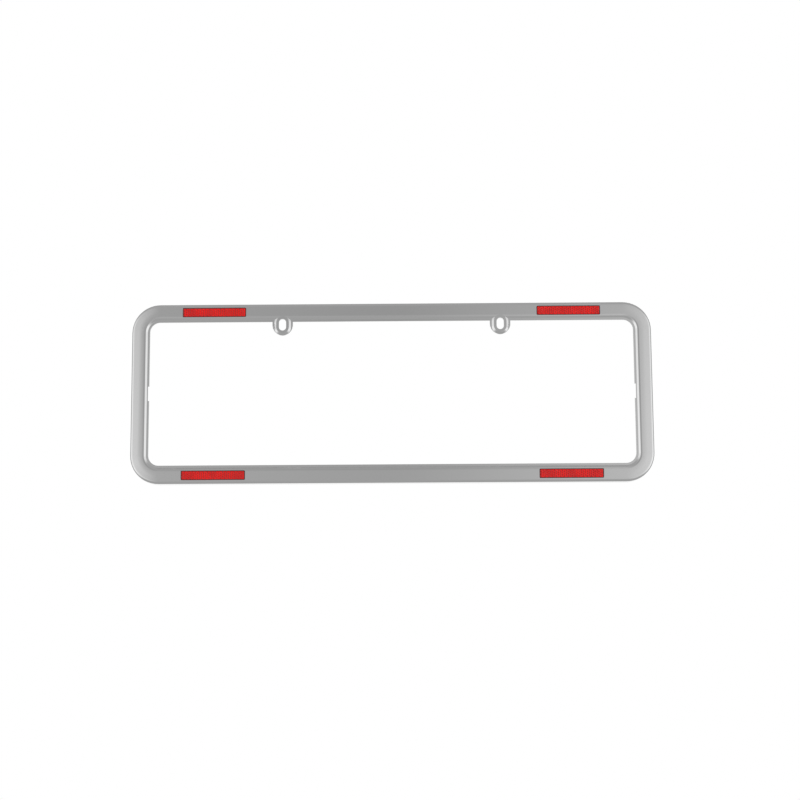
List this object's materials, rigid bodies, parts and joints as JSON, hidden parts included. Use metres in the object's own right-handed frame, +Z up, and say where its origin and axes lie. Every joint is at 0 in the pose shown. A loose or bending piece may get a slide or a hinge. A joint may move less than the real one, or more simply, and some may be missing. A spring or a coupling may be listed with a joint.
{
  "type": "number plate holder",
  "caption": "Chromed rectangular surround that frames a vehicle number plate, with a stepped lip, slotted screw ears and red reflectors let into its face.",
  "frame": {"origin": "centre of the holder's bounding box", "axes": "+X to the right as seen from the front, along the long side; +Z up; the front face looks along -Y and the back rim along +Y"},
  "size_m": [0.46, 0.0112, 0.16],
  "materials": {
    "chrome_plating": "bright chrome plating on moulded ABS",
    "red_reflector": "glossy moulded red acrylic with a prism pattern"
  },
  "bodies": {
    "root": {"frame": "chrome_plating", "reflector_top_left": "red_reflector", "reflector_top_right": "red_reflector", "reflector_bottom_left": "red_reflector", "reflector_bottom_right": "red_reflector"}
  },
  "joints": []
}
